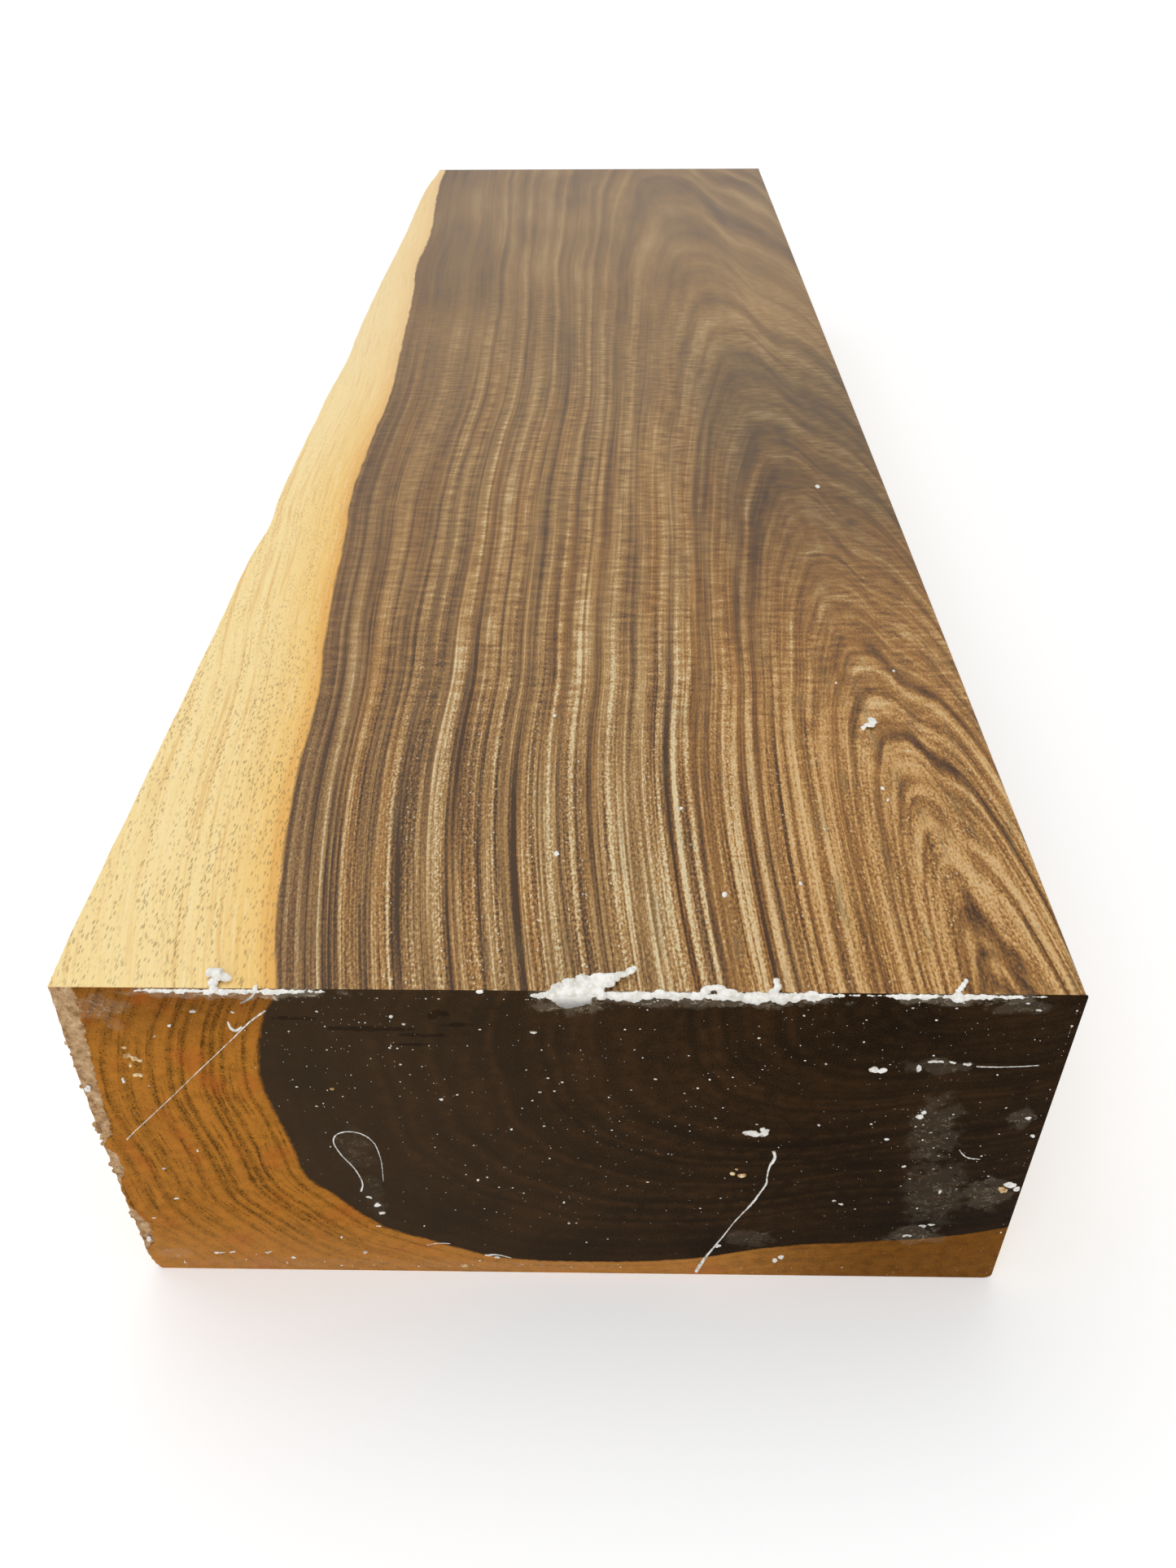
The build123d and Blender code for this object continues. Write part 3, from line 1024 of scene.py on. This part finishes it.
# White flakes on the front: mm left and down, then half width, half height and how far they stand out
FRONT_FLAKES = [
    (48.2, 33.4, 0.9, 0.6, 0.35), (47, 33.5, 1.2, 0.8, 0.4), (45.5, 33.6, 1, 0.8, 0.4),
    (45.7, 32.2, 0.5, 0.7, 0.3), (45, 32.8, 0.5, 0.5, 0.3), (29.4, 17, 1.1, 0.8, 0.35),
    (28, 17.2, 0.8, 0.7, 0.3), (20.6, 28.6, 0.9, 0.9, 0.25), (19.9, 27.5, 0.7, 0.6, 0.25),
    (25, 34.8, 0.6, 0.5, 0.25), (21, 42.1, 0.4, 0.4, 0.2), (13.7, 49, 0.5, 0.5, 0.4),
    (2, 46.9, 1.2, 0.8, 0.3), (0.9, 48.4, 0.7, 1.3, 0.3), (40.3, 71, 0.8, 0.8, 0.3),
    (39.4, 70.2, 0.8, 0.6, 0.3), (51.1, 66.6, 0.6, 0.5, 0.3), (15, 59.6, 1.3, 0.3, 0.2),
    (13.6, 59.2, 0.8, 0.3, 0.2), (17.2, 62.8, 1.1, 0.5, 0.2), (31.6, 52.2, 0.6, 0.35, 0.2),
    (30.4, 53.3, 0.5, 0.3, 0.2), (1.3, 33.4, 0.5, 0.5, 0.3), (2.9, 28.8, 0.7, 0.5, 0.3),
    (28.1, 30.7, 0.3, 0.2, 0.2), (36.6, 31.1, 0.3, 0.2, 0.2), (104.2, 5.5, 0.5, 0.35, 0.3),
    (102.6, 7.2, 0.4, 0.2, 0.2), (118.7, 27.5, 0.4, 0.2, 0.2), (98, 25.4, 0.5, 0.3, 0.3),
    (93.5, 47.3, 0.3, 0.3, 0.2), (87.1, 32.9, 0.25, 0.25, 0.2), (78.8, 53.7, 0.3, 0.3, 0.2),
    (78, 60.1, 0.3, 0.3, 0.2), (74.9, 66.1, 0.3, 0.3, 0.2), (104, 61.4, 0.3, 0.25, 0.2),
    (119.5, 65.1, 0.25, 0.5, 0.25), (129.4, 72, 0.8, 0.4, 0.3), (115.6, 70.1, 0.5, 0.4, 0.2),
    (93, 70.6, 1, 0.25, 0.2), (91.4, 71.2, 0.8, 0.3, 0.2), (82.7, 8.9, 0.8, 0.3, 0.2),
    (133.8, 70.5, 1.1, 0.3, 0.2), (142.9, 70.7, 1.4, 0.22, 0.2), (140.5, 70.4, 1, 0.2, 0.2),
    (113, 52.8, 0.7, 0.4, 0.25), (111.7, 54.9, 0.7, 0.6, 0.3), (111.3, 57.4, 0.8, 0.5, 0.3),
    (112.3, 61.6, 0.6, 0.2, 0.2), (138.8, 7.9, 0.4, 0.45, 0.3), (134.2, 4.7, 0.8, 0.3, 0.3),
    (141.5, 10.6, 0.3, 0.25, 0.2), (128.2, 4.8, 0.5, 0.25, 0.25), (149, 21.2, 0.35, 0.7, 0.3),
    (145.2, 22.6, 0.4, 0.2, 0.2), (147.4, 53.7, 0.5, 0.2, 0.25), (147.7, 44.9, 0.6, 0.25, 0.25),
    (140.7, 39.7, 0.25, 0.4, 0.2), (155.4, 23.4, 0.9, 1, 0.12), (152.6, 59.8, 0.6, 0.3, 0.2),
    (155, 66.6, 0.7, 1, 0.15), (6.8, 2.9, 0.7, 0.2, 0.2), (22.5, 16.3, 0.5, 1.3, 0.2),
    (20.2, 14.9, 1.5, 0.4, 0.2), (17.6, 15, 1, 0.3, 0.2), (14.9, 15.3, 0.9, 0.4, 0.25),
]

# Cream flakes with wood dust in them
CREAM_FLAKES = [
    (147.1, 15.2, 0.7, 0.6, 0.35), (146, 15.6, 0.9, 0.7, 0.35), (145.3, 16.4, 0.7, 0.5, 0.3),
    (147, 17.4, 0.3, 0.9, 0.3), (146.2, 19.9, 0.9, 0.5, 0.3), (147, 13.3, 0.5, 0.4, 0.25),
    (115.5, 22.9, 0.6, 0.35, 0.3), (97.5, 74, 0.8, 0.55, 0.4), (49.7, 44.5, 0.6, 0.6, 0.35),
    (48.2, 45, 0.8, 0.7, 0.35), (49.1, 43.4, 0.4, 0.3, 0.3), (3.2, 48.4, 0.9, 0.9, 0.45),
]

# Raised lines of wax on the front: points of mm left, mm down and half width
WAX_RUN = [
    (43.4, 38.2, 0.32), (42.9, 39.4, 0.24), (43.1, 41, 0.34), (43.7, 42.2, 0.19), (43.9, 46, 0.11),
    (43.7, 47.4, 0.21), (44.8, 50.4, 0.13), (45.5, 52.6, 0.27), (46.8, 55.4, 0.13), (48.6, 59, 0.1),
    (50.2, 63.4, 0.13), (51.9, 67.4, 0.18), (53.2, 70.6, 0.24), (54, 73, 0.4), (54.6, 75.2, 0.32),
]
BUBBLE_RIM = [
    (110.4, 37.2, 0.09), (111, 35.7, 0.11), (112.6, 34.3, 0.11), (114.7, 34, 0.11), (116.4, 34.7, 0.12),
    (117.3, 36.4, 0.13), (117, 38.7, 0.11), (116, 41.4, 0.11), (114.8, 43.6, 0.09), (114, 46.1, 0.11),
    (113.5, 49.2, 0.15), (114.2, 50.9, 0.19),
]
BUBBLE_SIDE = [(110.3, 37.2, 0.1), (109.8, 40, 0.07), (109.7, 43.5, 0.06), (110, 48, 0.05)]
SCRATCH = [
    (152.1, 36.8, 0.11), (150.3, 34.6, 0.07), (148.3, 32.4, 0.08), (143.9, 27.5, 0.07),
    (139.9, 22.9, 0.06), (136.3, 18.7, 0.1), (133, 15, 0.06), (129.6, 11.1, 0.06), (127.6, 8.7, 0.14),
    (125.5, 6.3, 0.15), (123.2, 4.4, 0.18),
]
CURLS = [
    [(129.5, 7, 0.16), (129.4, 8.7, 0.3), (128.4, 9.2, 0.26), (127.5, 8.1, 0.2)],
    [(126.8, 2.8, 0.12), (125.4, 2, 0.24), (124.4, 0.8, 0.14), (124, 0, 0.2)],
    [(12.5, 37.4, 0.1), (11.7, 38.9, 0.14), (10.3, 39.8, 0.12), (8.6, 39.9, 0.07)],
    [(104.1, 67.6, 0.06), (102.1, 66.5, 0.09), (99.8, 67, 0.06)],
    [(13.6, 16, 0.14), (9, 16.3, 0.08), (4, 15.6, 0.07)],
    [(92.8, 70.4, 0.12), (91, 70.2, 0.16), (88.9, 71.4, 0.1)],
]

# Crumbs lying on the planed top: mm left, mm back, half size
TOP_CRUMBS = [
    (81.9, 72, 0.4), (80, 31.3, 0.5), (58.5, 43.6, 0.45), (52.4, 21.5, 0.5), (22.1, 49.7, 0.4),
    (21.7, 46.3, 0.3), (39.7, 24.3, 0.35), (13.2, 88.6, 0.35), (25.6, 84.1, 0.3), (34, 38.2, 0.25),
    (15.4, 61.1, 0.25), (76.9, 57.4, 0.25), (17.6, 176.4, 0.7),
]


def link_copy(model, matrix):
    """A copy of a model with a mesh of its own, put in place."""
    copy = bpy.data.objects.new(model.name, model.data.copy())
    copy.data.transform(matrix)
    bpy.context.collection.objects.link(copy)
    return copy


def join(parts, name):
    """Joins pieces into one."""
    deselect()
    for part in parts:
        part.select_set(True)
    bpy.context.view_layer.objects.active = parts[0]
    bpy.ops.object.join()
    joined = bpy.context.object
    joined.name = name
    joined.data.name = name
    return joined


def lump_model(faceted):
    """One soft lump, or a faceted crumb of few faces, a unit in radius."""
    name, subdivisions, depth = ("crumb_model", 1, 0.7) if faceted else ("lump_model", 2, 0.35)
    deselect()
    bpy.ops.mesh.primitive_ico_sphere_add(subdivisions=subdivisions, radius=1)
    lump = settle(name)
    roughen(lump, "knocks", depth, 0.8, "NORMAL", middle=0.5)
    apply_all(lump)
    return lump


def stamp(model, place, sizes, rng):
    """A copy of a lump at a place, with half sizes in mm and a random turn and skew."""
    tilt = 0.4
    turn = Matrix.Rotation(rng.uniform(-tilt, tilt), 4, rng.choice("XYZ"))
    spin = Matrix.Rotation(rng.uniform(0, math.tau), 4, "Y")
    size = Matrix.Diagonal((*(half * MM for half in sizes), 1))
    return link_copy(model, Matrix.Translation(place) @ turn @ size @ spin)


def keep_inside(piece):
    """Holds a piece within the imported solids' box."""
    margin = 0.002 * MM
    low, high = (Vector(corner) for corner in CAD_BOX)
    for vert in piece.data.vertices:
        for axis in range(3):
            vert.co[axis] = clamp(vert.co[axis], low[axis] + margin, high[axis] - margin)


def fuse(parts, name, grain, rough):
    """Melts overlapping lumps into one skin with a knobbly surface."""
    knob_size = 0.5 * MM
    piece = join(parts, name)
    melt = piece.modifiers.new("melt", "REMESH")
    melt.mode = "VOXEL"
    melt.voxel_size = grain * MM
    roughen(piece, "knobbly", rough * MM, knob_size, "NORMAL", middle=0.5)
    soften = piece.modifiers.new("soften", "SMOOTH")
    soften.factor = 0.4
    soften.iterations = 1
    apply_all(piece)
    keep_inside(piece)
    bpy.ops.object.shade_smooth()
    return piece


def raised_line(name, points):
    """A tapering line of wax, half sunk in the front film."""
    path = bpy.data.curves.new(name, "CURVE")
    path.dimensions = "3D"
    path.bevel_depth = MM
    path.bevel_resolution = 3
    path.resolution_u = 6
    path.use_fill_caps = True
    spline = path.splines.new("NURBS")
    spline.points.add(len(points) - 1)
    for point, (left, down, half_width) in zip(spline.points, points):
        point.co = (*spot(left, 0, down), 1)
        point.radius = half_width
    spline.order_u = 3
    spline.use_endpoint_u = True
    line = bpy.data.objects.new(name, path)
    bpy.context.collection.objects.link(line)
    choose(line)
    bpy.ops.object.convert(target="MESH")
    return bpy.context.object


class BLOCK_OT_ridge(bpy.types.Operator):
    """Model the thick wax on the upper front arris and the bits on the top"""

    bl_idname = "block.ridge"
    bl_label = "Wax ridge"

    def execute(self, context):
        rng = random.Random(5)
        model = lump_model(False)
        parts = []
        for start, end, down, half_height, half_depth in RIDGE_RUNS:
            left = start
            while left > end:
                # Thinner towards the ends of a run, and uneven between
                taper = math.sin(math.pi * clamp((start - left) / (start - end), 0.12, 0.88))
                wave = 0.75 + 0.25 * math.sin(left * 1.1) * math.sin(left * 0.37)
                swell = taper ** 0.4 * wave * rng.uniform(0.55, 1.15)
                place = spot(left, -rng.uniform(-0.2, 0.1) * half_depth, down * swell)
                sizes = (half_height * rng.uniform(0.6, 1.3), half_depth * swell, half_height * swell)
                parts.append(stamp(model, place, sizes, rng))
                left -= half_height * rng.uniform(0.35, 0.75)
        for left, back, up, across, along_grain, high in TOP_LUMPS:
            parts.append(stamp(model, spot(left, back, -up), (across, along_grain, high), rng))
        for left, back, half in TOP_CRUMBS:
            sizes = (half, half * 1.3, half * 0.6)
            parts.append(stamp(model, spot(left, back, -half * 0.2), sizes, rng))
        bpy.data.objects.remove(model)
        ridge = fuse(parts, "wax_ridge", 0.17, 0.5)
        finish_piece(ridge, "end_wax", [make_white_wax_finish(context.scene.block_wax)])
        return {"FINISHED"}


class BLOCK_OT_flakes(bpy.types.Operator):
    """Model the white and cream flakes on the front wax"""

    bl_idname = "block.flakes"
    bl_label = "Wax flakes"

    def execute(self, context):
        lumps_each, loose = 3, 0.4
        rng = random.Random(9)
        model = lump_model(False)
        kinds = (
            ("white_flakes", FRONT_FLAKES, bpy.data.materials["white_wax"]),
            ("cream_flakes", CREAM_FLAKES, make_cream_wax_finish(context.scene.block_wax)),
        )
        for name, flakes, material in kinds:
            parts = []
            for left, down, half_width, half_height, proud in flakes:
                for _ in range(lumps_each):
                    aside = rng.uniform(-loose, loose) * half_width
                    under = rng.uniform(-loose, loose) * half_height
                    share = rng.uniform(0.5, 0.8)
                    sizes = (half_width * share, proud * rng.uniform(0.6, 1.1), half_height * share)
                    place = spot(left + aside, 0, down + under)
                    parts.append(stamp(model, place, sizes, rng))
            finish_piece(fuse(parts, name, 0.13, 0.4), "end_wax", [material])
        bpy.data.objects.remove(model)
        return {"FINISHED"}


class BLOCK_OT_lines(bpy.types.Operator):
    """Model the run of wax, the bubble's rim, the scratch and the small curls"""

    bl_idname = "block.lines"
    bl_label = "Raised wax lines"

    def execute(self, context):
        routes = [WAX_RUN, BUBBLE_RIM, BUBBLE_SIDE, SCRATCH, *CURLS]
        lines = [raised_line("line", points) for points in routes]
        piece = join(lines, "raised_wax_lines")
        finer = piece.modifiers.new("finer", "SUBSURF")
        finer.levels = 1
        finer.render_levels = 1
        depth, size = 0.16 * MM, 0.6 * MM
        roughen(piece, "uneven", depth, size, "NORMAL", middle=0.5)
        apply_all(piece)
        keep_inside(piece)
        bpy.ops.object.shade_smooth()
        finish_piece(piece, "end_wax", [bpy.data.materials["white_wax"]])
        return {"FINISHED"}


# Loose fibres at the front of the natural edge: mm down at the middle, spread in mm, number
EDGE_CRUMBS = [(36.5, 2.6, 26), (45, 3, 8), (60.5, 3.5, 12), (68, 2.5, 6), (22, 9, 8)]


class BLOCK_OT_edge_crumbs(bpy.types.Operator):
    """Model the loose bits of wood at the front of the natural edge"""

    bl_idname = "block.edge_crumbs"
    bl_label = "Edge crumbs"

    def execute(self, context):
        rng = random.Random(31)
        rim = edge_line(bpy.data.objects["timber_with_natural_edge"], False)
        model = lump_model(True)
        parts = []
        for middle, spread, count in EDGE_CRUMBS:
            for _ in range(count):
                height = TOP - rng.gauss(middle, spread * 0.5) * MM
                aside = along(rim, height) + rng.uniform(-0.25, 0.9) * MM
                place = Vector((aside, WOOD_LOW.y + rng.uniform(-0.1, 0.9) * MM, height))
                half = rng.uniform(0.2, 0.55)
                parts.append(stamp(model, place, (half * 1.2, half, half), rng))
        bpy.data.objects.remove(model)
        piece = join(parts, "edge_crumbs")
        keep_inside(piece)
        finish_piece(piece, "timber", [bpy.data.materials["bare_end_grain"]])
        return {"FINISHED"}


# Where wax crumbs gather: mm left, mm down, spread left, spread down, share of the crumbs
WAX_DRIFTS = [
    (112, 12, 9, 8, 0.16), (70, 24, 26, 16, 0.3), (28, 8, 22, 5, 0.14), (75, 44, 18, 12, 0.14),
    (16, 40, 8, 14, 0.16), (90, 74, 45, 1, 0.1),
]


class BLOCK_OT_crumbs(bpy.types.Operator):
    """Scatter the fine crumbs of wax over the front"""

    bl_idname = "block.crumbs"
    bl_label = "Wax crumbs"

    def execute(self, context):
        number = context.scene.block_wax.crumb_count
        smallest, spare = 0.055, 0.17
        left_limits, down_limits = (1, 150), (1.5, 75.6)
        rng = random.Random(21)
        model = lump_model(True)
        parts = []
        for left, down, wide, high, share in WAX_DRIFTS:
            for _ in range(round(number * share)):
                at_left = clamp(rng.gauss(left, wide), *left_limits)
                at_down = clamp(rng.gauss(down, high), *down_limits)
                half = smallest + spare * rng.random() ** 4
                sizes = (half * rng.uniform(0.8, 1.7), half * 0.6, half)
                parts.append(stamp(model, spot(at_left, 0, at_down), sizes, rng))
        bpy.data.objects.remove(model)
        piece = join(parts, "wax_crumbs")
        keep_inside(piece)
        finish_piece(piece, "end_wax", [bpy.data.materials["white_wax"]])
        return {"FINISHED"}


def softbox(context, name, place, power):
    """A square lamp facing the block."""
    middle = Vector((0, 0, 0.05))
    lamp = bpy.data.lights.new(name, "AREA")
    lamp.shape = "SQUARE"
    lamp.size = 1.4
    lamp.energy = power
    box = bpy.data.objects.new(name, lamp)
    context.collection.objects.link(box)
    box.location = place
    box.rotation_euler = (middle - box.location).to_track_quat("-Z", "Y").to_euler()


class BLOCK_OT_stage(bpy.types.Operator):
    """Set the floor, the lamps, the white surroundings and the camera"""

    bl_idname = "block.stage"
    bl_label = "Stage"

    def execute(self, context):
        settings = context.scene.block_stage
        deselect()
        bpy.ops.mesh.primitive_plane_add(size=settings.floor_size)
        floor = settle("floor")

        # The floor shines white at the camera, and is greyer near the block, where it has shadows
        finish = Finish(bpy.data.materials.new("pale_floor"))
        black, grey, white = ((tone, tone, tone) for tone in (0, 0.26, 1))
        place = finish.add("ShaderNodeTexCoord", output=3)
        away = finish.add("ShaderNodeVectorMath", {"operation": "LENGTH"}, {0: place}, 1)
        glow = finish.mix(away.fade(0.5, 1.6), grey, white)
        finish.surface(
            Base_Color=settings.floor,
            Roughness=0.9,
            Specular_IOR_Level=0,
            Emission_Color=finish.mix(finish.looked_at(), black, glow),
            Emission_Strength=1,
        )
        floor.data.materials.append(finish.owner)

        world = bpy.data.worlds.new("white_surroundings")
        context.scene.world = world
        around = Finish(world)
        strength = settings.sky + around.looked_at() * (1 - settings.sky)
        light = around.add("ShaderNodeBackground", None, {"Color": white, "Strength": strength})
        around.add("ShaderNodeOutputWorld", None, {"Surface": light})

        softbox(context, "softbox_above", (-0.35, 0.3, 1.5), settings.softbox_above)
        softbox(context, "softbox_front", (-0.3, -1.5, 0.85), settings.softbox_front)

        view = bpy.data.cameras.new("camera")
        view.lens = CAMERA_LENS
        view.sensor_width = CAMERA_SENSOR
        view.sensor_fit = "AUTO"
        view.clip_start = 0.01
        camera = bpy.data.objects.new("camera", view)
        context.collection.objects.link(camera)
        ahead = Vector((math.sin(CAMERA_YAW), math.cos(CAMERA_YAW), 0))
        level = Vector((math.cos(CAMERA_YAW), -math.sin(CAMERA_YAW), 0))
        forward = ahead * math.cos(CAMERA_DIP) - Vector((0, 0, math.sin(CAMERA_DIP)))
        upright = level.cross(forward)
        right = math.cos(CAMERA_ROLL) * level + math.sin(CAMERA_ROLL) * upright
        up = math.cos(CAMERA_ROLL) * upright - math.sin(CAMERA_ROLL) * level
        turned = Matrix((right, up, -forward)).transposed().to_4x4()
        camera.matrix_world = Matrix.Translation(CAMERA_PLACE) @ turned
        context.scene.camera = camera
        context.scene.view_settings.view_transform = "Standard"
        return {"FINISHED"}


class BLOCK_PT_parts(bpy.types.Panel):
    """Lists the parts of the block"""

    bl_idname = "BLOCK_PT_parts"
    bl_label = "Lignum vitae block"
    bl_space_type = "VIEW_3D"
    bl_region_type = "UI"
    bl_category = "Timber"

    def draw(self, context):
        for operator in OPERATORS:
            self.layout.operator(operator.bl_idname)


OPERATORS = (
    BLOCK_OT_timber,
    BLOCK_OT_front_film,
    BLOCK_OT_back_film,
    BLOCK_OT_ridge,
    BLOCK_OT_flakes,
    BLOCK_OT_lines,
    BLOCK_OT_edge_crumbs,
    BLOCK_OT_crumbs,
    BLOCK_OT_stage,
)
CLASSES = (TimberSettings, WaxSettings, StageSettings, *OPERATORS, BLOCK_PT_parts)


def register():
    for block_class in CLASSES:
        bpy.utils.register_class(block_class)
    bpy.types.Scene.block_timber = PointerProperty(type=TimberSettings)
    bpy.types.Scene.block_wax = PointerProperty(type=WaxSettings)
    bpy.types.Scene.block_stage = PointerProperty(type=StageSettings)


def unregister():
    del bpy.types.Scene.block_timber
    del bpy.types.Scene.block_wax
    del bpy.types.Scene.block_stage
    for block_class in reversed(CLASSES):
        bpy.utils.unregister_class(block_class)


def main():
    register()
    bpy.ops.block.timber()
    bpy.ops.block.front_film()
    bpy.ops.block.back_film()
    bpy.ops.block.ridge()
    bpy.ops.block.flakes()
    bpy.ops.block.lines()
    bpy.ops.block.edge_crumbs()
    bpy.ops.block.crumbs()
    bpy.ops.block.stage()


if __name__ == "__main__":
    main()
